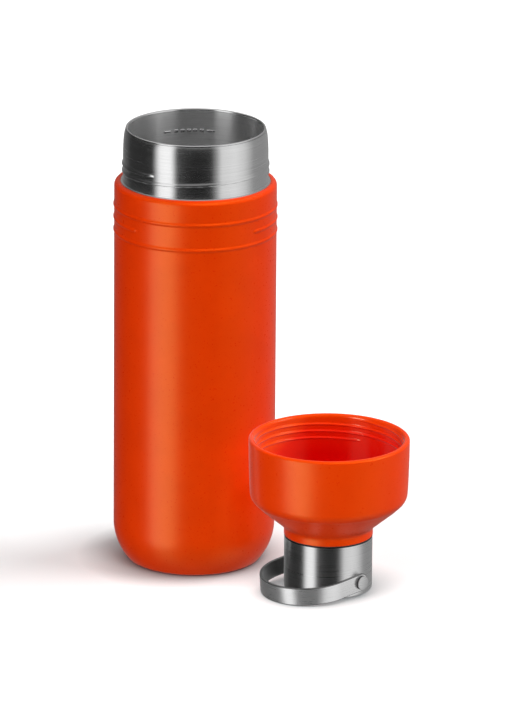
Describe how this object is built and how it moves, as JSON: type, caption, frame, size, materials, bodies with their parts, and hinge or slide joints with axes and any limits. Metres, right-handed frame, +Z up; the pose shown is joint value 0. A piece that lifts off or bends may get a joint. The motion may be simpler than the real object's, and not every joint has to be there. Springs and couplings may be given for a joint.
{
  "type": "insulated water bottle",
  "caption": "Double-walled steel water bottle, open, with its screw-on pouring lid and steel cap with folding carry handle standing upside down beside it.",
  "frame": {"origin": "centre of the bottle's base, on the surface that the bottle, the cap and the handle rest on", "axes": "+Z up along the bottle's axis; the lid stands towards +X and a little towards -Y, which is the front"},
  "size_m": [0.157, 0.1341, 0.2373],
  "materials": {
    "coated_steel": "satin orange powder coat",
    "bare_steel": "brushed",
    "dull_steel": "mill finish",
    "brushed_cap": "brushed",
    "strap_steel": "satin",
    "copper_foil": "copper foil",
    "brass_insert": "turned",
    "black_plastic": "moulded",
    "foam": "rigid foam",
    "silicone": "silicone rubber",
    "lid_gloss": "glossy moulded",
    "lid_matte": "satin moulded"
  },
  "bodies": {
    "bottle": {"outer_shell": "coated_steel", "threaded_neck": "bare_steel", "inner_liner": "bare_steel", "liner_floor": "bare_steel", "heat_shield": "copper_foil", "outer_base": "coated_steel", "vacuum_seal": "dull_steel", "getter": "dull_steel", "base_cover": "coated_steel"},
    "cap": {"cap_shell": "brushed_cap", "cap_liner": "black_plastic", "cap_foam": "foam", "cap_gasket": "silicone", "pivot_inserts": "brass_insert", "pivot_pins": "brushed_cap", "pivot_washers": "black_plastic"},
    "handle": {"handle": "strap_steel"},
    "seal": {"lid_gasket": "silicone"},
    "lid": {"lid_inner": "lid_gloss", "lid_foam": "foam", "lid_shell": "lid_matte"}
  },
  "joints": [
    {"name": "lid_carry", "type": "hinge", "parent": "bottle", "child": "cap", "pos_m": [0.03565, -0.02423, 0.16357], "axis": [-0.5621, -0.8271, 0], "range_deg": [0, 180]},
    {"name": "handle_swing", "type": "hinge", "parent": "cap", "child": "handle", "pos_m": [0.07129, -0.04845, 0.008], "axis": [0.6884, -0.7254, 0], "range_deg": [-40, 210]},
    {"name": "lid_advance", "type": "slide", "parent": "cap", "child": "seal", "axis": [0, 0, 1], "range_m": [0, 0.0362]},
    {"name": "lid_turn", "type": "hinge", "parent": "seal", "child": "lid", "pos_m": [0.07129, -0.04845, 0.08225], "axis": [0, 0, 1], "range_deg": [0, 1710]}
  ],
  "couplings": [
    {"joint": "lid_advance", "follows": "lid_turn", "m_per_rad": 0.0012096}
  ]
}
